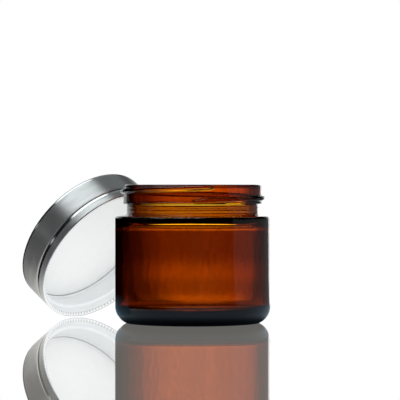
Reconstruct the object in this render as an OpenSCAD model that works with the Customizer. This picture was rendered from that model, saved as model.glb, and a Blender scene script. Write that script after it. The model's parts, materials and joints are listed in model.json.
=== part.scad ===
// Amber glass cream jar with a 58 mm screw neck, and its aluminium-clad screw lid.
// The lid is off: it stands on its rim beside the jar and leans back against the neck.
// Millimetres, +Z up, origin at the centre of the ring that the jar stands on, lid on the -X side.

/* [Jar body] */
// Outside diameter of the glass body
body_d = 60; // [59:0.5:64]
// Height from the standing ring to the top of the rim
jar_h = 53.5; // [50:0.5:70]
// Thickness of the glass in the body wall
wall = 3; // [2:0.25:4]
// Height of the inner floor above the standing ring
floor_h = 5; // [4:0.5:8]
// Radius of the curve at the heel
heel_r = 7; // [5:0.5:9]
// Height of the arch under the base
arch_h = 1.2; // [0.5:0.1:2]

/* [Screw neck] */
// Diameter of the neck wall between the turns of the thread
neck_d = 53.6; // [53:0.1:54]
// Diameter over the crest of the thread
thread_d = 56.4; // [56:0.1:56.8]
// Diameter of the plain groove under the threaded wall
groove_d = 51.1; // [50.5:0.1:52]
// Bore of the mouth
bore_d = 46.8; // [44:0.1:48]
// Height of the threaded wall, from the rim down to the groove
neck_h = 7.5; // [7:0.1:8]
// Height of the groove, from the threaded wall down to the shoulder
groove_h = 4.6; // [4:0.1:6]
// Rise of the thread in one turn
pitch = 5.08; // [5:0.02:5.2]
// Angle that the jar's single thread runs through
thread_turn = 377; // [300:1:380]

/* [Lid] */
// Outside diameter of the aluminium shell
lid_d = 60; // [59.8:0.1:62]
// Height of the lid
lid_h = 15; // [14.6:0.1:16]
// Thickness of the aluminium
shell_t = 0.45; // [0.3:0.05:0.6]
// Radius of the shell's top edge
shell_edge_r = 1; // [0.6:0.1:1.5]
// Height of the polished groove's middle above the lid's lower edge
band_at = 3.6; // [2:0.1:10]
// Width of the polished groove
band_w = 1.6; // [0.8:0.1:2]
// Thickness of the inner cap's top
cap_top_t = 1.1; // [1:0.1:1.4]
// Thickness of the foam liner
liner_t = 1.3; // [1:0.1:1.5]

/* [Lid standing beside the jar] */
// How far the middle of the lid's opening is from the jar's axis, along X
lid_x = -35.2; // [-60:0.1:-35.2]
// How far the middle of the lid's opening is behind the jar's axis
lid_y = 29.2; // [29.2:0.1:60]
// Tilt of the lid's axis from upright
lid_tilt = 55.8; // [55:0.1:80]
// Direction that the lid's closed top faces, from +X
lid_heading = 137.6; // [137:0.1:150]

/* [Hidden] */
$fn = 96;

body_r = body_d / 2;
bore_r = bore_d / 2;
neck_r = neck_d / 2;
thread_r = thread_d / 2;
groove_r = groove_d / 2;
lid_r = lid_d / 2;
groove_top = jar_h - neck_h;
shoulder_h = groove_top - groove_h;

// The jar's standing ring is flat, between the arch under the base and the heel curve
ring_in_r = 22.6;
heel_mid_z = heel_r - 0.5;
// Radius and share of the arch's height at two rings between the middle of the base and the standing ring
arch_ring_1 = [12, 0.75];
arch_ring_2 = [19, 0.3];
shoulder_r = 1.2;
// The shoulder rises a little towards the neck, and meets it in a small curve
shoulder_rise = 0.3;
neck_foot_r = 0.5;
rim_r = 0.7;
// Small bead where the threaded wall ends at the groove, and how far its centre is inside the neck wall
neck_bead_r = 0.5;
neck_bead_in = 0.25;
inner_heel_r = 2.8;
// The inner floor rises this much to its middle
floor_rise = 0.3;
// Thickness of the glass under the shoulder
shoulder_t = 1.3;
inner_shoulder_r = 3.5;
mouth_edge_r = 0.6;

// Jar thread: a rounded ridge that fades in and out at its ends
thread_half = 1.25;
thread_from = 270;
thread_z = groove_top + 1.1;
fade = 24;
thread_step = 6;
// Outline of a ridge's section: share of its height from the buried foot, and share of its half width
ridge_outline = [[0, -1], [0.75, -0.6], [1, -0.25], [1, 0.25], [0.75, 0.6], [0, 1]];
// How deep the foot of a ridge is buried in the wall
ridge_foot = 0.3;
// Share of a ridge's width that is left at its ends
ridge_end_w = 0.4;
// Share of a ridge's height that is left at its ends: blunt on the glass, just under the wall in the cap
jar_ridge_end = 0.4;
cap_ridge_end = -0.04;

// Running clearances of the inner cap round the neck
cap_root_r = thread_r + 0.25;
cap_crest_r = neck_r + 0.3;
cap_out_r = lid_r - shell_t;
cap_recess = 0.1;
cap_edge_r = shell_edge_r - shell_t;
band_depth = 0.15;
cap_ceiling = lid_h - shell_t - cap_top_t;
liner_gap = 0.1;
liner_face = cap_ceiling - liner_gap - liner_t;
liner_r = cap_root_r - 0.35;
bead_r = 0.55;
bead_z = liner_face - bead_r;
cap_thread_half = 0.9;
cap_thread_from = 220;
cap_thread_turn = 400;
// The cap's ridge runs half a pitch below the jar's when the lid is screwed down
cap_thread_z = thread_z - (jar_h - liner_face) + pitch * ((cap_thread_from - thread_from) / 360 - 0.5);

lid_z = lid_r * sin(lid_tilt);
amber = [0.42, 0.17, 0.03, 0.75];

// Points of an arc about (x, z), from angle a to angle b in n steps
function arc(x, z, r, a, b, n = 8) =
    [for (i = [0:n]) let (t = a + (b - a) * i / n) [x + r * cos(t), z + r * sin(t)]];

// 0 at the end of a ridge, rising smoothly to 1 once it has faded in
function ease(t) = let (u = min(max(t, 0), 1)) u * u * (3 - 2 * u);
function ridge_height(a, turn) = ease(min(a, turn - a) / fade);

// One section of a helical ridge, in the plane at angle a from its start. Its foot is buried in the wall,
// and its height goes down to the share end of its full height where the ridge ends.
function ridge_section(a, from, turn, wall_r, crest_r, half, z, end) =
    let (k = ridge_height(a, turn))
    let (out = sign(crest_r - wall_r))
    let (foot = wall_r - ridge_foot * out)
    let (crest = wall_r + (crest_r - wall_r) * (end + (1 - end) * k))
    let (h = z + pitch * a / 360)
    let (w = half * (ridge_end_w + (1 - ridge_end_w) * k))
    [for (p = ridge_outline)
        let (r = foot + p[0] * (crest - foot))
        [r * cos(from + a), r * sin(from + a), h + p[1] * w]];

// A helical ridge on a wall of radius wall_r, from angle from through turn degrees, starting at height z
module ridge(from, turn, wall_r, crest_r, half, z, end) {
    n = ceil(turn / thread_step);
    m = len(ridge_outline);
    points = [for (i = [0:n]) each ridge_section(turn * i / n, from, turn, wall_r, crest_r, half, z, end)];
    sides = [for (i = [0:n - 1]) for (j = [0:m - 1])
        [i * m + j, i * m + (j + 1) % m, (i + 1) * m + (j + 1) % m, (i + 1) * m + j]];
    ends = [[for (j = [m - 1:-1:0]) j], [for (j = [0:m - 1]) n * m + j]];
    faces = concat(sides, ends);
    turned = [for (f = faces) [for (k = [len(f) - 1:-1:0]) f[k]]];
    polyhedron(points, crest_r > wall_r ? faces : turned, convexity = 10);
}

// Half section of the glass: the outside from the base up to the rim, then the inside back down
module jar_section() {
    inner_r = body_r - wall;
    inner_top = shoulder_h - shoulder_t;
    polygon(concat(
        [[0, arch_h], [arch_ring_1[0], arch_h * arch_ring_1[1]]],
        [[arch_ring_2[0], arch_h * arch_ring_2[1]], [ring_in_r, 0]],
        arc(body_r - heel_r, heel_mid_z, heel_r, -asin(heel_mid_z / heel_r), 0),
        arc(body_r - shoulder_r, shoulder_h - shoulder_r, shoulder_r, 0, 90, 5),
        arc(groove_r + neck_foot_r, shoulder_h + shoulder_rise + neck_foot_r, neck_foot_r, 270, 180, 3),
        [[groove_r, groove_top]],
        arc(neck_r - neck_bead_in, groove_top + neck_bead_r, neck_bead_r, -90, 60, 5),
        [[neck_r, groove_top + 2 * neck_bead_r]],
        arc(neck_r - rim_r, jar_h - rim_r, rim_r, 0, 90, 5),
        arc(bore_r + mouth_edge_r, jar_h - mouth_edge_r, mouth_edge_r, 90, 180, 4),
        [[bore_r, shoulder_h]],
        arc(inner_r - inner_shoulder_r, inner_top - inner_shoulder_r, inner_shoulder_r, 70, 0, 5),
        arc(inner_r - inner_heel_r, floor_h + inner_heel_r, inner_heel_r, 0, -90),
        [[0, floor_h + floor_rise]]
    ));
}

module jar() {
    color(amber) union() {
        rotate_extrude() jar_section();
        ridge(thread_from, thread_turn, neck_r, thread_r, thread_half, thread_z, jar_ridge_end);
    }
}

// The lid's pieces are drawn as they sit on an upright lid, opening down at height 0, and then placed
module lid_place() {
    translate([lid_x, lid_y, lid_z]) rotate([0, lid_tilt, lid_heading]) children();
}

module lid_shell() {
    inside_h = lid_h - shell_t;
    color("silver") lid_place() rotate_extrude() polygon(concat(
        [[cap_out_r, 0], [lid_r, 0]],
        [[lid_r, band_at - band_w / 2], [lid_r - band_depth, band_at - band_w / 4]],
        [[lid_r - band_depth, band_at + band_w / 4], [lid_r, band_at + band_w / 2]],
        arc(lid_r - shell_edge_r, lid_h - shell_edge_r, shell_edge_r, 0, 90, 5),
        [[0, lid_h], [0, inside_h]],
        arc(cap_out_r - cap_edge_r, inside_h - cap_edge_r, cap_edge_r, 90, 0, 4)
    ));
}

module inner_cap() {
    top_h = lid_h - shell_t;
    color("white") lid_place() union() {
        rotate_extrude() polygon(concat(
            [[cap_root_r, cap_recess], [cap_out_r, cap_recess]],
            arc(cap_out_r - cap_edge_r, top_h - cap_edge_r, cap_edge_r, 0, 90, 4),
            [[0, top_h], [0, cap_ceiling], [cap_root_r, cap_ceiling]],
            arc(cap_root_r, bead_z, bead_r, 90, 270)
        ));
        ridge(cap_thread_from, cap_thread_turn, cap_root_r, cap_crest_r, cap_thread_half, cap_thread_z,
            cap_ridge_end);
    }
}

module liner() {
    color("white") lid_place() translate([0, 0, liner_face]) cylinder(r = liner_r, h = liner_t);
}

jar();
lid_shell();
inner_cap();
liner();
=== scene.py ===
"""Amber glass cream jar with its aluminium screw lid leaning beside it, on a glossy white table.

The sizes of the pieces, and the half sections that they are turned from, are in mm. Places in the scene, and
all distances in the light and the table, are in metres. The jar's axis is the row frame's Z axis.
"""

import json
import math

import bpy
import numpy as np
from mathutils import Matrix, Vector


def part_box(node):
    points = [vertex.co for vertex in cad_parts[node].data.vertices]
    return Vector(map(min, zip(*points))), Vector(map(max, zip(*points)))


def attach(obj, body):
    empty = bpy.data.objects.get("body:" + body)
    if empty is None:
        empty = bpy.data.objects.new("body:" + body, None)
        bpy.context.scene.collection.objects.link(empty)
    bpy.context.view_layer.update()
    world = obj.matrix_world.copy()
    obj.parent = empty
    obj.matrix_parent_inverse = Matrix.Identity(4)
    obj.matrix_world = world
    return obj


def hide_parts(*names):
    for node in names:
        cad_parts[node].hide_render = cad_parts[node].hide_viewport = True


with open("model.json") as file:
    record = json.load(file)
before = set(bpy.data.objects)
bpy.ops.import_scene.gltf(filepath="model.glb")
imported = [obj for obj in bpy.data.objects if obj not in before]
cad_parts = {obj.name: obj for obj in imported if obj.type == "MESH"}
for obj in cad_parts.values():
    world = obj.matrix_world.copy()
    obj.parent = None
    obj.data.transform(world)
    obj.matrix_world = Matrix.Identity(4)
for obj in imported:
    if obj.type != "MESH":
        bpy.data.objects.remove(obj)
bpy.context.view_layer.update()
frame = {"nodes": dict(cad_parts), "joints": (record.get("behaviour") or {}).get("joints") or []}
MM = 0.001

# ---------------------------------------------------------------- sizes of the pieces, in mm

JAR_SEGMENTS = 360
SHELL_SEGMENTS = 256
CAP_RIBS = 120
CAP_SEGMENTS = CAP_RIBS * 5
LINER_SEGMENTS = 160

# Glass body. The arch under the base is given by its middle and by points of radius and height.
WALL = 3.0
FLOOR_H = 5.0
FLOOR_RISE = 0.3
ARCH_H = 1.2
ARCH = [(3.0, 1.17), (12.0, 0.9), (19.0, 0.36)]
RING_IN_R = 22.6
RING_OUT_R = 25.6
HEEL_R = 7.0
HEEL_MID_Z = 6.5
HEEL_FROM_DEG = -68
BODY_FROM_Z = 9.0
SHOULDER_R = 1.2
SHOULDER_RISE = 0.3
SHOULDER_BELOW_RIM = 12.1
ROOF_R = 3.5
ROOF_MID_Z = 36.6
INNER_HEEL_R = 2.8
# A straight stretch keeps this far from the arc that it leads to, so that the shading stays flat on it
LEAD = 1.0

# Neck, with the threaded wall above a plain groove
NECK_R = 26.8
NECK_BELOW_RIM = 7.5
GROOVE_R = 25.55
GROOVE_FOOT_R = 0.7
GROOVE_TOP_R = 0.35
NECK_BEAD_R = 0.5
NECK_BEAD_IN = 0.25
RIM_R = 0.9
BORE_R = 23.4
MOUTH_EDGE_R = 0.8
BORE_FOOT_R = 1.5

# Both threads are ridges that get lower and narrower over the fade at their ends
PITCH = 5.08
THREAD_FADE = 5.0
THREAD_MEAN_R = 28.0
THREAD_END_WIDTH = 0.45
THREAD_SQUARENESS = 2.4
JAR_THREAD_R = 28.2
JAR_THREAD_HALF = 1.08
JAR_THREAD_FROM_DEG = 270.0
JAR_THREAD_TURN_DEG = 377.0
JAR_THREAD_BELOW_RIM = 6.4
CAP_THREAD_HALF = 0.72
CAP_THREAD_FROM_DEG = 220.0
CAP_THREAD_TURN_DEG = 400.0
CAP_THREAD_Z = 2.41

# Unevenness of moulded glass. Each set of waves in the inner wall has a share of the depth, a number of
# waves round the wall, a phase, and a change of phase per mm of height.
WAVE_DEPTH = 0.007
WAVES_FROM_Z = 8.0
WAVES_FADE_IN = 6.0
WAVES_TO_Z = 36.0
WAVES_FADE_OUT = 4.0
WAVES = [
    (1.0, 23, 0.9, 0.05),
    (0.8, 41, 2.2, -0.07),
    (0.3, 57, 4.0, 0.5),
    (0.3, 57, 4.0, -0.5),
    (0.5, 71, 1.3, 0.6),
]
# Faint rings in the neck's groove, from a little above the shoulder
GROOVE_RINGS_UP = 1.3
GROOVE_RING_DEPTH = 0.05
GROOVE_RING_PITCH = 1.5
GROOVE_RING_SWAY = 0.3

# Aluminium shell
LID_R = 30.0
SHEET = 0.45
LID_EDGE_R = 1.0
BAND_AT = 3.6
BAND_HALF = 0.8
BAND_DEPTH = 0.15
BAND_EDGE = 0.03
LIP_R = 0.2
SHELL_INNER_EDGE_R = 0.55

# Inner cap and liner
CAP_OUT_R = LID_R - SHEET
CAP_ROOT_R = 28.45
CAP_CREST_R = 27.1
CAP_RECESS = 0.1
CAP_TOP = 1.1
CAP_MOUTH_R = 0.4
RIB_NOTCH = 0.55
BEAD_R = 0.57
LINER_GAP = 0.1
LINER_T = 1.3
LINER_R = 28.1
LINER_EDGE_R = 0.25
# Faint ring that the jar's rim has pressed into the foam
PRESS_R = 25.2
PRESS_WIDTH = 1.3
PRESS_DEPTH = 0.03


# ---------------------------------------------------------------- mesh helpers


def arc(x, z, r, a, b, n):
    """n + 1 points of an arc about (x, z) from angle a to angle b, in degrees."""
    t = np.radians(np.linspace(a, b, n + 1))
    return np.stack([x + r * np.cos(t), z + r * np.sin(t)], 1)


def line(p, q, n):
    """n points from p towards q, without q."""
    t = np.linspace(0, 1, n, endpoint=False)[:, None]
    return (1 - t) * np.array(p, float) + t * np.array(q, float)


def smooth(t):
    """0 below 0, 1 above 1, and a smooth rise between."""
    u = np.clip(t, 0, 1)
    return u * u * (3 - 2 * u)


def near(values, target, reach):
    """Which values are within reach of the target."""
    return np.abs(values - target) < reach


def turned_over(profile):
    """A half section's points in the other order, for pieces that are drawn from their closed top down."""
    return [np.vstack([np.array(part, float) for part in profile])[::-1]]


def run_along(profile):
    """Length along a half section in mm up to each of its points, in metres."""
    return np.concatenate([[0], np.cumsum(np.hypot(*np.diff(profile, axis=0).T))]) * MM


def lathe(name, profile, segments, shape=None, place=None, polished=()):
    """A closed mesh from a half section in mm, whose first and last points are on the axis.

    shape(angle, r, z) returns the new (r, z) of every point, so that threads and ribs are part of the same
    surface. place puts the mesh in the row frame. Rows inside one of the polished ranges (low, high, least
    radius) take the second material. The UV map "spin" holds the share of a turn and the length along the
    half section.
    """
    profile = np.vstack([np.array(part, float) for part in profile])
    ring = profile[1:-1]
    rows = len(ring)
    angle = np.linspace(0, 2 * math.pi, segments, endpoint=False)
    a = np.repeat(angle, rows)
    r = np.tile(ring[:, 0], segments)
    z = np.tile(ring[:, 1], segments)
    if shape is not None:
        r, z = shape(a, r, z)
    ends = [[0, 0, profile[0, 1]], [0, 0, profile[-1, 1]]]
    verts = np.vstack([np.stack([r * np.cos(a), r * np.sin(a), z], 1), ends]) * MM
    if place is not None:
        turn = np.array(place.to_3x3())
        verts = verts @ turn.T + np.array(place.translation)
    run = run_along(profile)
    first, last = len(verts) - 2, len(verts) - 1
    faces, uvs, second = [], [], []
    for i in range(segments):
        j = (i + 1) % segments
        u, w = i / segments, (i + 1) / segments
        for k in range(rows - 1):
            faces.append((i * rows + k, j * rows + k, j * rows + k + 1, i * rows + k + 1))
            uvs += [(u, run[k + 1]), (w, run[k + 1]), (w, run[k + 2]), (u, run[k + 2])]
            middle = (ring[k] + ring[k + 1]) / 2
            second.append(any(low < middle[1] < high and middle[0] > least for low, high, least in polished))
        faces.append((first, j * rows, i * rows))
        uvs += [(u, run[0]), (w, run[1]), (u, run[1])]
        faces.append((last, i * rows + rows - 1, j * rows + rows - 1))
        uvs += [(u, run[-1]), (u, run[-2]), (w, run[-2])]
        second += [False, False]
    mesh = bpy.data.meshes.new(name)
    mesh.from_pydata(verts.tolist(), [], faces)
    mesh.uv_layers.new(name="spin").data.foreach_set("uv", np.array(uvs, np.float32).ravel())
    mesh.polygons.foreach_set("use_smooth", [True] * len(mesh.polygons))
    mesh.polygons.foreach_set("material_index", [int(x) for x in second])
    mesh.update()
    obj = bpy.data.objects.new(name, mesh)
    bpy.context.scene.collection.objects.link(obj)
    return obj


def thread_bump(angle, z, start_deg, turn_deg, z_start, half):
    """Height, from 0 to 1, of a helical ridge at each (angle, z), with rounded ends."""
    height = np.zeros_like(z)
    reach = THREAD_FADE / THREAD_MEAN_R
    for lap in (-1, 0, 1, 2):
        along = angle - math.radians(start_deg) + lap * 2 * math.pi
        along_deg = np.degrees(along)
        inside = (along_deg > 0) & (along_deg < turn_deg)
        to_end = np.minimum(along, math.radians(turn_deg) - along) / reach
        k = np.sqrt(1 - (1 - np.clip(to_end, 0, 1)) ** 2)
        centre = z_start + PITCH * along_deg / 360
        width = half * (THREAD_END_WIDTH + (1 - THREAD_END_WIDTH) * k)
        across = np.clip(np.abs(z - centre) / width, 0, 1)
        bump = k * np.sqrt(np.clip(1 - across**THREAD_SQUARENESS, 0, 1))
        height = np.maximum(height, np.where(inside, bump, 0))
    return height


# ---------------------------------------------------------------- the jar


def jar_profile(body_r, height):
    """Half section of the glass, from the middle of the base round the outside and back down the inside."""
    shoulder = height - SHOULDER_BELOW_RIM
    neck_foot = height - NECK_BELOW_RIM
    inner_r = body_r - WALL
    return [
        [[0, ARCH_H]],
        line(ARCH[0], ARCH[1], 3),
        line(ARCH[1], ARCH[2], 3),
        line(ARCH[2], [RING_IN_R, 0], 2),
        line([RING_IN_R, 0], [RING_OUT_R, 0.02], 2),
        arc(body_r - HEEL_R, HEEL_MID_Z, HEEL_R, HEEL_FROM_DEG, 0, 18),
        line([body_r, BODY_FROM_Z], [body_r, shoulder - SHOULDER_R], 24),
        arc(body_r - SHOULDER_R, shoulder - SHOULDER_R, SHOULDER_R, 0, 90, 9),
        line([body_r - SHOULDER_R - 0.5, shoulder + 0.03], [GROOVE_R + 0.9, shoulder + SHOULDER_RISE], 5),
        arc(GROOVE_R + GROOVE_FOOT_R, shoulder + 0.35 + GROOVE_FOOT_R, GROOVE_FOOT_R, 262, 180, 6),
        line([GROOVE_R, shoulder + 2 * GROOVE_FOOT_R], [GROOVE_R, neck_foot - GROOVE_TOP_R], 24),
        arc(GROOVE_R + GROOVE_TOP_R, neck_foot - GROOVE_TOP_R, GROOVE_TOP_R, 180, 90, 3),
        arc(NECK_R - NECK_BEAD_IN, neck_foot + NECK_BEAD_R, NECK_BEAD_R, -80, 60, 6),
        line([NECK_R, neck_foot + LEAD], [NECK_R, height - LEAD], 56),
        arc(NECK_R - RIM_R, height - RIM_R, RIM_R, 0, 90, 8),
        line([NECK_R - RIM_R - 0.4, height], [BORE_R + MOUTH_EDGE_R + 0.3, height], 3),
        arc(BORE_R + MOUTH_EDGE_R, height - MOUTH_EDGE_R, MOUTH_EDGE_R, 90, 180, 7),
        line([BORE_R, height - 2 * MOUTH_EDGE_R], [BORE_R, shoulder + 0.8], 12),
        arc(BORE_R + BORE_FOOT_R, shoulder + 0.6, BORE_FOOT_R, 180, 208, 4),
        arc(inner_r - ROOF_R, ROOF_MID_Z, ROOF_R, 70, 0, 16),
        line([inner_r, ROOF_MID_Z - LEAD], [inner_r, FLOOR_H + INNER_HEEL_R + LEAD], 30),
        arc(inner_r - INNER_HEEL_R, FLOOR_H + INNER_HEEL_R, INNER_HEEL_R, 0, -90, 14),
        line([inner_r - INNER_HEEL_R - 1.5, FLOOR_H], [ARCH[0][0], FLOOR_H + 0.28], 8),
        [[0, FLOOR_H + FLOOR_RISE]],
    ]


def make_jar():
    """The glass, in one closed piece with its thread."""
    low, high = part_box("jar")
    body_r, height = (high.x - low.x) / 2 / MM, high.z / MM
    groove_from = height - SHOULDER_BELOW_RIM + GROOVE_RINGS_UP
    neck_from = height - NECK_BELOW_RIM

    def moulded(a, r, z):
        """Thread, rings in the groove under it, and waves in the inner wall that fade out at both ends."""
        fade = smooth((z - WAVES_FROM_Z) / WAVES_FADE_IN) * smooth((WAVES_TO_Z - z) / WAVES_FADE_OUT)
        wave = sum(share * np.cos(count * a + phase + drift * z) for share, count, phase, drift in WAVES)
        r = np.where(near(r, body_r - WALL, 0.01), r + WAVE_DEPTH * fade * wave, r)
        sway = GROOVE_RING_SWAY * np.cos(3 * a)
        rings = np.sin(2 * math.pi * (z - height) / GROOVE_RING_PITCH + sway)
        in_groove = near(r, GROOVE_R, 0.01) & (z > groove_from)
        r = np.where(in_groove, r + GROOVE_RING_DEPTH * rings, r)
        thread_z = height - JAR_THREAD_BELOW_RIM
        bump = thread_bump(a, z, JAR_THREAD_FROM_DEG, JAR_THREAD_TURN_DEG, thread_z, JAR_THREAD_HALF)
        outside = (r > NECK_R - RIM_R - 0.05) & (r < NECK_R + 0.3) & (z > neck_from) & (z < height)
        return np.where(outside, r + (JAR_THREAD_R - NECK_R) * bump, r), z

    jar = lathe("jar_glass", jar_profile(body_r, height), JAR_SEGMENTS, moulded)
    jar.data.materials.append(amber_glass())
    jar.visible_diffuse = False
    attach(jar, "jar")
    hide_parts("jar")
    return jar


# ---------------------------------------------------------------- the lid


def lid_place():
    """The lid's own frame, with its origin in the middle of the lid's opening and +Z towards its closed top.

    The second value is the lid's height in mm.
    """
    turn = next(j for j in frame["joints"] if j["name"] == "lid_turn")
    up, on_axis = Vector(turn["axis"]).normalized(), Vector(turn["pos_m"])
    heights = [(v.co - on_axis).dot(up) for v in frame["nodes"]["lid_shell"].data.vertices]
    origin = on_axis + up * min(heights)
    side = Vector((0, 0, 1)).cross(up).normalized()
    across = side.cross(up)
    place = Matrix((across, side, up)).transposed().to_4x4()
    place.translation = origin
    return place, (max(heights) - min(heights)) / MM


def cap_ceiling(lid_h):
    """Height of the inner cap's ceiling above the lid's opening."""
    return lid_h - SHEET - CAP_TOP


def liner_face(lid_h):
    """Height of the liner's open face above the lid's opening."""
    return cap_ceiling(lid_h) - LINER_GAP - LINER_T


def make_shell(place, lid_h):
    """Spun shell: a flat top, a skirt with a polished groove round it, and a rolled lip."""
    band_low, band_high = BAND_AT - BAND_HALF, BAND_AT + BAND_HALF
    band_r = LID_R - BAND_DEPTH
    flat_r = 27.8
    top_inside = lid_h - SHEET
    profile = [
        [[0, lid_h]],
        line([4, lid_h], [flat_r, lid_h], 16),
        line([flat_r, lid_h], [flat_r + 0.7, lid_h], 2),
        arc(LID_R - LID_EDGE_R, lid_h - LID_EDGE_R, LID_EDGE_R, 90, 0, 10),
        [[LID_R, lid_h - LID_EDGE_R - 0.35]],
        line([LID_R, lid_h - LID_EDGE_R - 0.7], [LID_R, band_high + 0.1], 12),
        [[LID_R, band_high + BAND_EDGE], [LID_R - 0.02, band_high]],
        line([band_r, band_high - 2 * BAND_EDGE], [band_r, band_low + 2 * BAND_EDGE], 4),
        [[band_r, band_low + 2 * BAND_EDGE], [LID_R - 0.02, band_low], [LID_R, band_low - BAND_EDGE]],
        line([LID_R, band_low - 0.2], [LID_R, 0.5], 8),
        arc(LID_R - LIP_R, LIP_R, LIP_R, 0, -90, 4),
        arc(CAP_OUT_R + 0.15, 0.15, 0.15, -90, -180, 3),
        line([CAP_OUT_R, 0.4], [CAP_OUT_R, lid_h - LID_EDGE_R], 10),
        arc(CAP_OUT_R - SHELL_INNER_EDGE_R, top_inside - SHELL_INNER_EDGE_R, SHELL_INNER_EDGE_R, 0, 90, 5),
        line([27.5, top_inside], [4, top_inside], 6),
        [[0, top_inside]],
    ]
    polished = [
        (band_low, band_high, CAP_OUT_R + 0.1),
        (lid_h - LID_EDGE_R - 0.35, lid_h - 0.01, LID_R - LID_EDGE_R),
        (-0.1, 0.35, CAP_OUT_R - 0.1),
    ]
    shell = lathe("lid_shell_spun", turned_over(profile), SHELL_SEGMENTS, None, place, polished)
    shell.data.materials.append(brushed_aluminium("brushed_aluminium", False))
    shell.data.materials.append(brushed_aluminium("polished_aluminium", True))
    shell.visible_transmission = False
    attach(shell, "lid")
    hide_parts("lid_shell")
    return shell


def make_cap(place, lid_h):
    """Inner cap: a thread on the inside, a bead that keeps the liner in, and a ribbed rim."""
    top, ceiling, face = lid_h - SHEET, cap_ceiling(lid_h), liner_face(lid_h)
    mouth_mid = CAP_RECESS + CAP_MOUTH_R
    profile = [
        [[0, top]],
        line([4, top], [28.5, top], 6),
        arc(CAP_OUT_R - SHELL_INNER_EDGE_R, top - SHELL_INNER_EDGE_R, SHELL_INNER_EDGE_R, 90, 0, 5),
        line([CAP_OUT_R, top - LEAD], [CAP_OUT_R, CAP_RECESS + 0.3], 8),
        arc(CAP_OUT_R - 0.12, CAP_RECESS + 0.12, 0.12, 0, -90, 3),
        line([CAP_OUT_R - 0.2, CAP_RECESS], [CAP_ROOT_R + CAP_MOUTH_R + 0.05, CAP_RECESS], 5),
        arc(CAP_ROOT_R + CAP_MOUTH_R, mouth_mid, CAP_MOUTH_R, -90, -180, 6),
        line([CAP_ROOT_R, mouth_mid + 0.1], [CAP_ROOT_R, mouth_mid + 0.65], 3),
        line([CAP_ROOT_R, mouth_mid + 0.7], [CAP_ROOT_R, face - 1.3], 60),
        arc(CAP_ROOT_R + 0.02, face - 0.6, BEAD_R, 270, 90, 12),
        line([CAP_ROOT_R, face + 0.1], [CAP_ROOT_R, ceiling - 0.2], 4),
        line([CAP_ROOT_R - 0.2, ceiling], [4, ceiling], 6),
        [[0, ceiling]],
    ]

    def moulded(a, r, z):
        """Inside thread, and fine notches round the rim's inner edge."""
        bump = thread_bump(a, z, CAP_THREAD_FROM_DEG, CAP_THREAD_TURN_DEG, CAP_THREAD_Z, CAP_THREAD_HALF)
        inside = near(r, CAP_ROOT_R, 0.05) & (z > CAP_RECESS + 0.2) & (z < face - 1.2)
        r = np.where(inside, r - (CAP_ROOT_R - CAP_CREST_R) * bump, r)
        notch = smooth((np.cos(a * CAP_RIBS) - 0.1) / 0.5) * smooth((CAP_ROOT_R + 0.75 - r) / 0.25)
        rim = (z < mouth_mid + 0.05) & (r > CAP_ROOT_R - 0.01)
        return r, np.where(rim, z + RIB_NOTCH * notch, z)

    section = turned_over(profile)
    points = section[0]
    rim = run_along(points)[(points[:, 1] < mouth_mid + 0.02) & (points[:, 0] < CAP_ROOT_R + 0.8)]
    cap = lathe("inner_cap_moulded", section, CAP_SEGMENTS, moulded, place)
    cap.data.materials.append(white_plastic(rim[0], rim[-1]))
    cap.visible_transmission = False
    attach(cap, "lid")
    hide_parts("inner_cap")
    return cap


def make_liner(place, lid_h):
    """Foam disc above the bead."""
    face = liner_face(lid_h)
    back = face + LINER_T
    edge_mid_r = LINER_R - LINER_EDGE_R
    profile = [
        [[0, back]],
        line([3, back], [LINER_R - 0.6, back], 12),
        arc(edge_mid_r, back - LINER_EDGE_R, LINER_EDGE_R, 90, 0, 4),
        arc(edge_mid_r, face + LINER_EDGE_R, LINER_EDGE_R, 0, -90, 4),
        line([LINER_R - 0.6, face], [3, face], 24),
        [[0, face]],
    ]

    def pressed(a, r, z):
        """A shallow ring in the open face."""
        dent = PRESS_DEPTH * np.exp(-(((r - PRESS_R) / PRESS_WIDTH) ** 2))
        return r, np.where(z < face + 0.1, z + dent, z)

    liner = lathe("liner_foam", turned_over(profile), LINER_SEGMENTS, pressed, place)
    liner.data.materials.append(white_foam())
    liner.visible_transmission = False
    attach(liner, "liner")
    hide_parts("liner")
    return liner


# ---------------------------------------------------------------- node helpers


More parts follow.
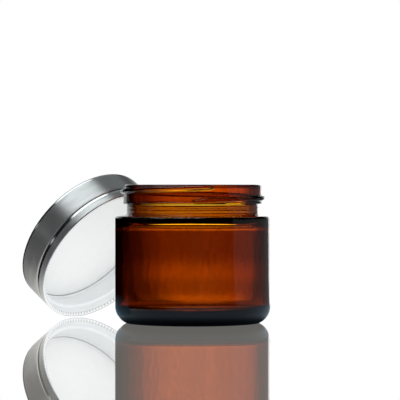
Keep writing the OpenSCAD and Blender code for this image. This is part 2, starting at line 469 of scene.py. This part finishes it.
class Nodes:
    """Short-hand for a node tree.

    put() sets or links an input, make() returns the node that it adds, and each other method adds nodes and
    returns their output. A value may be a number, a colour, a vector or an output.
    """

    def __init__(self, tree):
        self.tree = tree
        tree.nodes.clear()

    def make(self, kind, **props):
        node = self.tree.nodes.new(kind)
        for key, value in props.items():
            setattr(node, key, value)
        return node

    def put(self, node, name, value):
        socket = node.inputs[name]
        if isinstance(value, bpy.types.NodeSocket):
            self.tree.links.new(value, socket)
        else:
            socket.default_value = value

    def math(self, op, first, second=0.0):
        node = self.make("ShaderNodeMath", operation=op)
        self.put(node, 0, first)
        self.put(node, 1, second)
        return node.outputs[0]

    def add(self, first, *others):
        for value in others:
            first = self.math("ADD", first, value)
        return first

    def times(self, first, *others):
        for value in others:
            first = self.math("MULTIPLY", first, value)
        return first

    def rest(self, value):
        """What is left of 1."""
        return self.math("SUBTRACT", 1.0, value)

    def step(self, value, low, high, out_low=0.0, out_high=1.0):
        """Smooth step from out_low, where the value is low, to out_high, where it is high."""
        node = self.make("ShaderNodeMapRange", interpolation_type="SMOOTHSTEP")
        self.put(node, "Value", value)
        self.put(node, "From Min", low)
        self.put(node, "From Max", high)
        self.put(node, "To Min", out_low)
        self.put(node, "To Max", out_high)
        return node.outputs["Result"]

    def turn_step(self, angle, low, high, out_low=0.0, out_high=1.0):
        """The same for an angle in radians, with low and high in degrees."""
        return self.step(angle, math.radians(low), math.radians(high), out_low, out_high)

    def sector(self, angle, low, high, soft):
        """1 where the angle is from low to high, in degrees, with edges that fade over soft each way."""
        rise = self.turn_step(angle, low - soft, low + soft)
        fall = self.turn_step(angle, high - soft, high + soft, 1.0, 0.0)
        return self.times(rise, fall)

    def pick(self, factor, yes, no):
        """yes where the factor is 1, no where it is 0."""
        node = self.make("ShaderNodeMix", data_type="RGBA")
        self.put(node, 0, factor)
        self.put(node, 6, as_colour(no))
        self.put(node, 7, as_colour(yes))
        return node.outputs[2]

    def ramp(self, value, stops):
        """Colour that runs through the stops, each a place from 0 to 1 and a colour."""
        node = self.make("ShaderNodeValToRGB")
        self.put(node, 0, value)
        points = node.color_ramp.elements
        for place, _ in stops[1:-1]:
            points.new(place)
        for point, (place, colour) in zip(points, stops):
            point.position = place
            point.color = as_colour(colour)
        return node.outputs[0]

    def scale(self, vector, factor):
        node = self.make("ShaderNodeVectorMath", operation="SCALE")
        self.put(node, 0, vector)
        self.put(node, "Scale", factor)
        return node.outputs[0]

    def join(self, x, y, z):
        node = self.make("ShaderNodeCombineXYZ")
        self.put(node, 0, x)
        self.put(node, 1, y)
        self.put(node, 2, z)
        return node.outputs[0]

    def split(self, vector):
        node = self.make("ShaderNodeSeparateXYZ")
        self.put(node, 0, vector)
        return node.outputs

    def noise(self, vector, scale, detail=2.0, roughness=0.5):
        node = self.make("ShaderNodeTexNoise")
        self.put(node, "Vector", vector)
        self.put(node, "Scale", scale)
        self.put(node, "Detail", detail)
        self.put(node, "Roughness", roughness)
        return node.outputs["Fac"]

    def stretch(self, vector, scale):
        node = self.make("ShaderNodeMapping")
        self.put(node, "Vector", vector)
        self.put(node, "Scale", scale)
        return node.outputs["Vector"]

    def bump(self, height, strength, distance):
        node = self.make("ShaderNodeBump")
        self.put(node, "Height", height)
        self.put(node, "Strength", strength)
        self.put(node, "Distance", distance)
        return node.outputs["Normal"]

    def object_coords(self):
        return self.make("ShaderNodeTexCoord").outputs["Object"]

    def spin(self):
        """Angle in radians and length along the half section, from the lathe's UV map."""
        share, run, _ = self.split(self.make("ShaderNodeUVMap", uv_map="spin").outputs[0])
        return self.times(share, 2 * math.pi), run

    def position(self):
        return self.split(self.make("ShaderNodeNewGeometry").outputs["Position"])


def as_colour(value):
    """A number as a grey, three numbers as an opaque colour, and an output as it is."""
    if isinstance(value, bpy.types.NodeSocket):
        return value
    return (value, value, value, 1) if isinstance(value, (int, float)) else tuple(value) + (1,)


def new_material(name):
    """A material with a Principled shader: the material, its nodes, the shader and the output."""
    material = bpy.data.materials.new(name)
    material.use_nodes = True
    n = Nodes(material.node_tree)
    shader = n.make("ShaderNodeBsdfPrincipled")
    out = n.make("ShaderNodeOutputMaterial")
    n.put(out, "Surface", shader.outputs[0])
    return material, n, shader, out


# ---------------------------------------------------------------- materials of the pieces


# Absorption of the amber glass per metre is its density times what is missing from the colour
AMBER = (0.81, 0.59, 0.0)
AMBER_DENSITY = 1720.0
ALUMINIUM_DARK = (0.70, 0.715, 0.715)
ALUMINIUM_LIGHT = (0.86, 0.875, 0.875)
SATIN_ROUGHNESS = (0.36, 0.44)
POLISHED_ROUGHNESS = (0.10, 0.14)
PLASTIC_DARK = (0.86, 0.885, 0.905)
PLASTIC_LIGHT = (0.90, 0.92, 0.935)
# Painted shade: the grey of the hollows between the rim's ribs
PLASTIC_NOTCH_SHADE = (0.62, 0.64, 0.65)
FOAM_DARK = (0.90, 0.915, 0.905)
FOAM_LIGHT = (0.95, 0.96, 0.95)


def amber_glass():
    """Clear amber glass, with the faint waves and upright streaks that moulding leaves."""
    material, n, shader, out = new_material("amber_glass")
    n.put(shader, "Base Color", as_colour(1.0))
    n.put(shader, "Transmission Weight", 1.0)
    n.put(shader, "IOR", 1.5)
    coords = n.object_coords()
    streaks = n.noise(n.stretch(coords, (1, 1, 0.06)), scale=260.0, detail=1.0)
    waves = n.noise(coords, scale=90.0, detail=1.0)
    height = n.add(n.times(streaks, 0.5), waves)
    n.put(shader, "Normal", n.bump(height, strength=0.06, distance=0.0004))
    n.put(shader, "Roughness", n.step(waves, 0.3, 0.8, 0.012, 0.03))
    absorb = n.make("ShaderNodeVolumeAbsorption")
    n.put(absorb, "Color", as_colour(AMBER))
    n.put(absorb, "Density", AMBER_DENSITY)
    n.put(out, "Volume", absorb.outputs[0])
    return material


def brushed_aluminium(name, polished):
    """Satin aluminium with fine lines round the axis, or the polished metal of the groove and edges."""
    material, n, shader, _ = new_material(name)
    turn, run = n.spin()
    # The lines change slowly round the axis and fast along the half section
    around = n.scale(n.join(n.math("COSINE", turn), n.math("SINE", turn), 0.0), 0.002)
    ring = n.make("ShaderNodeVectorMath", operation="ADD")
    n.put(ring, 0, around)
    n.put(ring, 1, n.join(0.0, 0.0, run))
    lines = n.noise(ring.outputs[0], scale=9000.0, detail=3.0, roughness=0.6)
    broad = n.noise(ring.outputs[0], scale=1500.0)
    n.put(shader, "Base Color", n.pick(lines, ALUMINIUM_LIGHT, ALUMINIUM_DARK))
    n.put(shader, "Metallic", 1.0)
    low, high = POLISHED_ROUGHNESS if polished else SATIN_ROUGHNESS
    n.put(shader, "Roughness", n.step(broad, 0.3, 0.7, low, high))
    if not polished:
        n.put(shader, "Anisotropic", 0.8)
        n.put(shader, "Anisotropic Rotation", 0.25)
        tangent = n.make("ShaderNodeTangent", direction_type="UV_MAP", uv_map="spin")
        n.put(shader, "Tangent", tangent.outputs[0])
    n.put(shader, "Normal", n.bump(lines, strength=0.03 if polished else 0.12, distance=0.00005))
    return material


def white_plastic(rim_from, rim_to):
    """White plastic, with shade painted in grey between the ribs of the rim, which is at rim_from to rim_to
    in the UV map.
    """
    material, n, shader, _ = new_material("white_plastic")
    coords = n.object_coords()
    turn, run = n.spin()
    soft = 0.0001
    # Painted shade in the hollows between the rim's ribs, placed by the angle and the length along the half
    # section
    notch_shade = n.step(n.math("COSINE", n.times(turn, CAP_RIBS)), 0.1, 0.5)
    from_rim = n.step(run, rim_from - soft, rim_from + soft)
    to_rim = n.step(run, rim_to - soft, rim_to + soft, 1.0, 0.0)
    cloud = n.noise(coords, scale=120.0)
    plain = n.pick(cloud, PLASTIC_LIGHT, PLASTIC_DARK)
    n.put(shader, "Base Color", n.pick(n.times(notch_shade, from_rim, to_rim), PLASTIC_NOTCH_SHADE, plain))
    n.put(shader, "Roughness", n.step(cloud, 0.3, 0.7, 0.28, 0.36))
    n.put(shader, "Subsurface Weight", 0.15)
    n.put(shader, "Subsurface Radius", (0.004, 0.004, 0.005))
    n.put(shader, "Subsurface Scale", 0.3)
    grain = n.noise(coords, scale=2500.0)
    n.put(shader, "Normal", n.bump(grain, strength=0.05, distance=0.00005))
    return material


def white_foam():
    """Matt white foam with fine cells."""
    material, n, shader, _ = new_material("white_foam")
    coords = n.object_coords()
    cells = n.make("ShaderNodeTexVoronoi")
    n.put(cells, "Vector", coords)
    n.put(cells, "Scale", 2600.0)
    mottle = n.noise(coords, scale=300.0, detail=3.0)
    n.put(shader, "Base Color", n.pick(mottle, FOAM_LIGHT, FOAM_DARK))
    n.put(shader, "Roughness", n.step(mottle, 0.3, 0.7, 0.5, 0.62))
    height = n.add(cells.outputs["Distance"], n.times(mottle, 0.5))
    n.put(shader, "Normal", n.bump(height, strength=0.15, distance=0.00008))
    return material


# ---------------------------------------------------------------- light

# The studio is all panels and black flags, and each kind of ray sees its own set of them: reflections, light
# through the glass, light on matt surfaces, and the plain white behind it all. An azimuth is in degrees from
# behind the jar (+Y) towards its right (+X), an elevation and a softness are in degrees.

# Light that falls on everything matt, from all round
DIFFUSE = 1.12

# Panels near the horizon that reflections show: (from, to, softness)
BACK_PANEL = (-29, 29, 4)
BACK_LEVEL = 1.6
RIGHT_PANEL = (29, 118, 3)
RIGHT_NEAR = (0.17, 0.17, 0.17)
RIGHT_FAR = (0.17, 0.235, 0.21)
RIGHT_TURNS_AT = (60, 85)
FRONT_FROM = (115, 121)
FRONT_LEVEL = 0.015
BLACK_LEVEL = 0.003

# What reflections show higher up. The overhead box is a cone round a direction.
LOW_TO = (7, 12)
OVERHEAD = (-0.237, -0.1, 0.966)
OVERHEAD_EDGE = (31, 22)
OVERHEAD_LEVEL = 1.5
BEHIND_FROM_Y = (0.1, 0.3)
BEHIND_EDGE = (30, 40)
BEHIND_LEVEL = 0.2
CREST_HEIGHT = (9, 19, 2)
CREST_LEVEL = 0.6
STRIP_WIDTH = (-107, -97, 2)
STRIP_HEIGHT = (5, 16, 2)
STRIP_LEVEL = 0.5
MID_LEVEL = 0.01
UPPER_TINT = (0.98, 1.03, 1.04)

# What the glass shows: a bright horizon with flags to both sides, dusk above it and one bright band
LEFT_FLAG = (-58, -13, 1)
LEFT_FLAG_DARK = 0.95
LEFT_SHADE = (-58, -6, 3.5)
LEFT_SHADE_DARK = 0.75
RIGHT_FLAG = (15, 58, 6)
RIGHT_FLAG_DARK = 0.8
GLOW_EDGE = (0.5, 3.0)
GLOW_LEVELS = (1.6, 0.8)
DUSK_EDGE = (8, 16)
DUSK_LEVEL = 0.08
BAND_HEIGHT = (20, 25, 2)
BAND_LEVEL = 2.4
CLOTH_SCALE = 70.0
CLOTH_LEVELS = (0.85, 1.15)
SKY = (3.1, 5.2, 3.0)
HORIZON = (3.2, 4.2, 3.0)


def studio(n, azimuth):
    """Light that comes from near the horizon in each direction, for reflections in glass and metal."""
    back = n.times(n.sector(azimuth, *BACK_PANEL), BACK_LEVEL)
    front = n.turn_step(azimuth, *FRONT_FROM, 0.0, FRONT_LEVEL)
    level = n.add(back, front, BLACK_LEVEL)
    right = n.pick(n.turn_step(azimuth, *RIGHT_TURNS_AT), RIGHT_FAR, RIGHT_NEAR)
    return n.pick(n.sector(azimuth, *RIGHT_PANEL), right, n.join(level, level, level))


def through(n, azimuth):
    """Light seen through the glass: all round, with a weave like cloth, but for a dark flag on each side."""
    left = n.times(n.sector(azimuth, *LEFT_FLAG), LEFT_FLAG_DARK)
    shade = n.times(n.sector(azimuth, *LEFT_SHADE), LEFT_SHADE_DARK)
    right = n.times(n.sector(azimuth, *RIGHT_FLAG), RIGHT_FLAG_DARK)
    flags = n.rest(n.math("MAXIMUM", n.math("MAXIMUM", left, shade), right))
    cloth = n.noise(n.join(azimuth, 0.0, 0.0), scale=CLOTH_SCALE, detail=2.0, roughness=0.6)
    return n.times(flags, n.step(cloth, 0.35, 0.65, *CLOTH_LEVELS))


def upper_light(n, direction, azimuth, elevation, low):
    """Light for reflections from above the panels near the horizon, whose share is low."""
    lined_up = n.make("ShaderNodeVectorMath", operation="DOT_PRODUCT")
    n.put(lined_up, 0, direction)
    n.put(lined_up, 1, Vector(OVERHEAD).normalized())
    edge = [math.cos(math.radians(angle)) for angle in OVERHEAD_EDGE]
    overhead = n.step(lined_up.outputs["Value"], *edge, 0.0, OVERHEAD_LEVEL)
    y = n.split(direction)[1]
    behind = n.times(n.step(y, *BEHIND_FROM_Y), n.turn_step(elevation, *BEHIND_EDGE, 0.0, BEHIND_LEVEL))
    crest = n.times(n.sector(azimuth, *BACK_PANEL), n.sector(elevation, *CREST_HEIGHT), CREST_LEVEL)
    strip = n.times(n.sector(azimuth, *STRIP_WIDTH), n.sector(elevation, *STRIP_HEIGHT), STRIP_LEVEL)
    mid = n.times(n.rest(low), MID_LEVEL)
    return n.scale(UPPER_TINT, n.math("MAXIMUM", overhead, n.add(behind, crest, mid, strip)))


def make_world():
    """The studio round the table."""
    world = bpy.data.worlds.new("studio")
    world.use_nodes = True
    world.cycles.sampling_method = "NONE"
    bpy.context.scene.world = world
    n = Nodes(world.node_tree)
    direction = n.make("ShaderNodeTexCoord").outputs["Generated"]
    x, y, z = n.split(direction)
    azimuth = n.math("ARCTAN2", x, y)
    elevation = n.math("ARCSINE", z)
    low = n.turn_step(elevation, *LOW_TO, 1.0, 0.0)
    shine = n.pick(low, studio(n, azimuth), upper_light(n, direction, azimuth, elevation, low))
    glow = n.turn_step(elevation, *GLOW_EDGE, *GLOW_LEVELS)
    dusk = n.times(glow, n.turn_step(elevation, *DUSK_EDGE, 1.0, DUSK_LEVEL))
    band = n.times(n.sector(elevation, *BAND_HEIGHT), BAND_LEVEL)
    seen = n.times(through(n, azimuth), n.add(dusk, band))
    path = n.make("ShaderNodeLightPath").outputs
    mirror = n.times(path["Is Glossy Ray"], path["Is Singular Ray"])
    level = n.pick(path["Is Glossy Ray"], shine, DIFFUSE)
    level = n.pick(path["Is Transmission Ray"], n.scale(SKY, seen), level)
    level = n.pick(n.math("MAXIMUM", path["Is Camera Ray"], mirror), 1.0, level)
    back = n.make("ShaderNodeBackground")
    n.put(back, "Color", level)
    n.put(back, "Strength", 1.0)
    out = n.make("ShaderNodeOutputWorld")
    n.put(out, "Surface", back.outputs[0])


# ---------------------------------------------------------------- table and card

# What the glass shows of the table at each distance from the jar's axis, in metres: a painted shadow under
# the jar, then painted pools of light further out
POOL = [
    (0.0, (0.1, 0.1, 0.1)),
    (0.030, (0.1, 0.1, 0.1)),
    (0.055, (2.2, 3.1, 2.5)),
    (0.13, (2.9, 4.1, 3.2)),
    (0.18, (2.8, 3.9, 3.1)),
    (0.27, (1.65, 2.0, 1.8)),
    (0.38, (1.6, 1.9, 1.7)),
    (0.49, (2.2, 2.6, 2.3)),
    (0.62, (1.9, 2.15, 1.9)),
    (0.76, (1.3, 1.35, 1.2)),
    (0.92, (1.0, 0.95, 0.9)),
    (1.0, (1.0, 0.95, 0.9)),
]
POOL_TO = (2.3, 3.4)
FLAGS_FROM = (0.03, 0.07)

TABLE_SIZE = 12.0
TABLE_BELOW = 0.00004
# How much of a mirror the table is, seen from above and seen edge-on, and what else it shows the camera
MIRROR_FACING = (0.45, 0.92)
MIRROR_SHARES = (0.06, 0.875)
MIRROR_TINT = (1.0, 1.006, 1.02)
EDGE_ON_FACING = (0.8, 0.92)
EDGE_ON_COLOUR = (1.0, 0.96, 0.88)

# What reflections in glass and metal show of the table: a painted shadow under the jar with bluish painted
# light round it, painted light under the lid, and painted light left of the jar that fades with distance
FAR_FROM = (0.09, 0.18)
UNDER_JAR_TO = (0.027, 0.034)
# Painted shadow under the jar, and bluish painted light round it
UNDER_JAR_SHADOW = (0.01, 0.015, 0.02)
BY_JAR = (0.27, 0.35, 0.42)
# Painted light on the table under the lid
UNDER_LID_LIGHT = 1.3
UNDER_LID_X = (-0.02, -0.01)
UNDER_LID_Y = (0.01, 0.02)
LEFT_X = (-0.07, -0.05)
# Painted light left of the jar
LEFT_LEVEL = 0.6
LEFT_TO = (0.085, 0.11)
LEFT_TINT = (1.0, 0.98, 0.94)

CARD_GAP = 0.0006
CARD_FROM_Y = -0.016
CARD_LENGTH = 0.052
CARD_BOTTOM = 0.0005
CARD_TOP = 0.0412
CARD_FOOT = (0.13, 0.22, 0.3)
CARD_FOOT_TO = (0.002, 0.012)

# The camera looks along +Y from level with the jar's rim, and this far right of the jar's axis
CAMERA_RIGHT = 0.00328
CAMERA_AWAY = 0.92
CAMERA_DOWN_DEG = 0.372
CAMERA_YAW = 0.0005
LENS = 213.9


def stage_sheet(name, corners):
    """A flat sheet with four corners that is part of the stage, and the nodes of its own material."""
    mesh = bpy.data.meshes.new(name)
    mesh.from_pydata(corners, [], [(0, 1, 2, 3)])
    sheet = bpy.data.objects.new(name, mesh)
    bpy.context.scene.collection.objects.link(sheet)
    material = bpy.data.materials.new(name)
    material.use_nodes = True
    mesh.materials.append(material)
    return sheet, Nodes(material.node_tree)


def show(n, first, second, share):
    """Give the material the two shaders, with this share of the second."""
    mix = n.make("ShaderNodeMixShader")
    n.put(mix, 0, share)
    n.put(mix, 1, first.outputs[0])
    n.put(mix, 2, second.outputs[0])
    out = n.make("ShaderNodeOutputMaterial")
    n.put(out, "Surface", mix.outputs[0])


def table_reflection(n, x, y, azimuth, distance):
    """What reflections in glass and metal show of the table, with a painted shadow under the jar and painted
    light under the lid and to the jar's left.
    """
    # Painted shadow under the jar, with bluish painted light round it
    by_jar = n.pick(n.step(distance, *UNDER_JAR_TO), BY_JAR, UNDER_JAR_SHADOW)
    # Painted light under the lid
    under_lid = n.times(n.step(y, *UNDER_LID_Y), n.step(x, *UNDER_LID_X, 1.0, 0.0))
    close = n.pick(under_lid, UNDER_LID_LIGHT, by_jar)
    left = n.scale(LEFT_TINT, n.step(distance, *LEFT_TO, LEFT_LEVEL, 0.0))
    close = n.pick(n.step(x, *LEFT_X), close, left)
    return n.pick(n.step(distance, *FAR_FROM), studio(n, azimuth), close)


def table_through(n, azimuth, distance):
    """What the glass shows of the table behind it: a painted shadow under the jar and painted pools of light
    further out, with the flags' shade from a little way off.
    """
    pool = n.pick(n.step(distance, *POOL_TO), HORIZON, n.ramp(distance, POOL))
    shade = n.times(n.step(distance, *FLAGS_FROM), n.rest(through(n, azimuth)))
    return n.scale(pool, n.rest(shade))


def make_floor():
    """Glossy white table: close to a mirror at the camera's shallow angle, and whiter from higher up."""
    size, level = TABLE_SIZE, -TABLE_BELOW
    corners = [(-size, -size, level), (size, -size, level), (size, size, level), (-size, size, level)]
    _, n = stage_sheet("table", corners)
    facing = n.make("ShaderNodeLayerWeight")
    n.put(facing, "Blend", 0.5)
    edge_on = facing.outputs["Facing"]
    x, y, _ = n.position()
    azimuth = n.math("ARCTAN2", x, y)
    distance = n.math("SQRT", n.add(n.times(x, x), n.times(y, y)))
    path = n.make("ShaderNodeLightPath").outputs
    colour = n.pick(path["Is Glossy Ray"], table_reflection(n, x, y, azimuth, distance), DIFFUSE)
    colour = n.pick(path["Is Transmission Ray"], table_through(n, azimuth, distance), colour)
    to_camera = n.pick(n.step(edge_on, *EDGE_ON_FACING), EDGE_ON_COLOUR, 1.0)
    colour = n.pick(path["Is Camera Ray"], to_camera, colour)
    plain = n.make("ShaderNodeEmission")
    n.put(plain, "Color", colour)
    gloss = n.make("ShaderNodeBsdfGlossy")
    n.put(gloss, "Color", as_colour(MIRROR_TINT))
    n.put(gloss, "Roughness", 0.0)
    mirror = n.step(edge_on, *MIRROR_FACING, *MIRROR_SHARES)
    show(n, plain, gloss, n.times(mirror, path["Is Camera Ray"]))


def camera_place():
    """Where the camera stands."""
    low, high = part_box("jar")
    middle = (low + high) / 2
    return Vector((middle.x + CAMERA_RIGHT, middle.y - CAMERA_AWAY, high.z))


def make_card():
    """Black card along the line of sight just left of the jar, so that the glass doesn't mirror the lid.

    Only reflections that aren't perfectly sharp show it, and its foot glows a little.
    """
    start = Vector((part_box("jar")[0].x - CARD_GAP, CARD_FROM_Y, 0.0))
    eye = camera_place()
    eye.z = 0.0
    end = start + (start - eye).normalized() * CARD_LENGTH
    corners = [
        (start.x, start.y, CARD_BOTTOM),
        (end.x, end.y, CARD_BOTTOM),
        (end.x, end.y, CARD_TOP),
        (start.x, start.y, CARD_TOP),
    ]
    card, n = stage_sheet("card", corners)
    for ray in ("camera", "diffuse", "transmission", "shadow", "volume_scatter"):
        setattr(card, "visible_" + ray, False)
    foot = n.step(n.position()[2], *CARD_FOOT_TO, 1.0, 0.0)
    black = n.make("ShaderNodeEmission")
    n.put(black, "Color", n.pick(foot, CARD_FOOT, 0.0))
    clear = n.make("ShaderNodeBsdfTransparent")
    show(n, black, clear, n.make("ShaderNodeLightPath").outputs["Is Singular Ray"])


def make_camera():
    """A long lens, level with the rim and looking down by a third of a degree."""
    data = bpy.data.cameras.new("camera")
    data.sensor_width = 36.0
    data.lens = LENS
    data.clip_start, data.clip_end = 0.05, 50.0
    camera = bpy.data.objects.new("camera", data)
    bpy.context.scene.collection.objects.link(camera)
    camera.location = camera_place()
    camera.rotation_euler = (math.radians(90 - CAMERA_DOWN_DEG), 0, CAMERA_YAW)
    bpy.context.scene.camera = camera


make_jar()
LID_PLACE, LID_H = lid_place()
make_shell(LID_PLACE, LID_H)
make_cap(LID_PLACE, LID_H)
make_liner(LID_PLACE, LID_H)
make_world()
make_floor()
make_card()
make_camera()
bpy.context.scene.view_settings.view_transform = "Standard"

bpy.context.view_layer.update()
